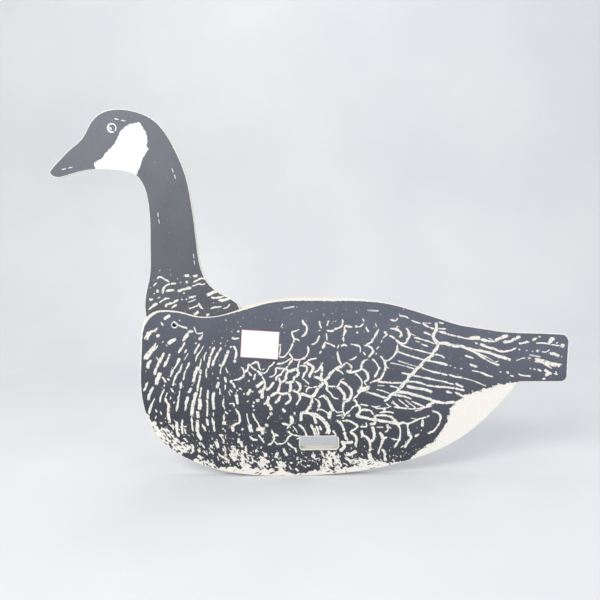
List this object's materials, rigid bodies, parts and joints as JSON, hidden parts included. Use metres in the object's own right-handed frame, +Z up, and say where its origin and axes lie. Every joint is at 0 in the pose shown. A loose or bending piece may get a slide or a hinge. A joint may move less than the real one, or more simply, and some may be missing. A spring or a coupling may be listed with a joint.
{
  "type": "silhouette goose decoy",
  "caption": "Flat two-sided goose silhouette decoy of printed fibreboard, with a head and neck that turn on an eyelet between the body boards.",
  "frame": {"origin": "bottom centre of the whole decoy as it stands upright: the belly's lowest point in Z, the middle of its length in X and of its thickness in Y", "axes": "+X toward the tail, so the bill points to -X; +Y away from the near side, which carries the price tag; +Z up"},
  "size_m": [0.6856, 0.016, 0.4995],
  "materials": {
    "printed_fibreboard": "matte",
    "plain_fibreboard": "matte",
    "staple_wire": "satin",
    "eyelet_metal": "satin",
    "tag_paper": "matte"
  },
  "bodies": {
    "body": {"near_body_panel": "printed_fibreboard", "far_body_panel": "printed_fibreboard", "front_spacer_near": "plain_fibreboard", "front_spacer_far": "plain_fibreboard", "rear_spacer_near": "plain_fibreboard", "rear_spacer_far": "plain_fibreboard", "tail_spacer_near": "plain_fibreboard", "tail_spacer_far": "plain_fibreboard", "front_ridge_staple": "staple_wire", "rear_ridge_staple": "staple_wire", "tail_staple": "staple_wire", "neck_pivot_eyelet": "eyelet_metal", "pivot_washer": "eyelet_metal", "price_tag": "tag_paper"},
    "neck": {"near_neck_panel": "printed_fibreboard", "far_neck_panel": "printed_fibreboard", "crown_staple": "staple_wire", "bill_staple": "staple_wire", "nape_staple": "staple_wire", "throat_staple": "staple_wire", "shoulder_staple": "staple_wire"}
  },
  "joints": [
    {"name": "neck_pivot", "type": "hinge", "parent": "body", "child": "neck", "pos_m": [-0.18775, 0, 0.2168], "axis": [0, -1, 0], "range_deg": [0, 100]}
  ]
}
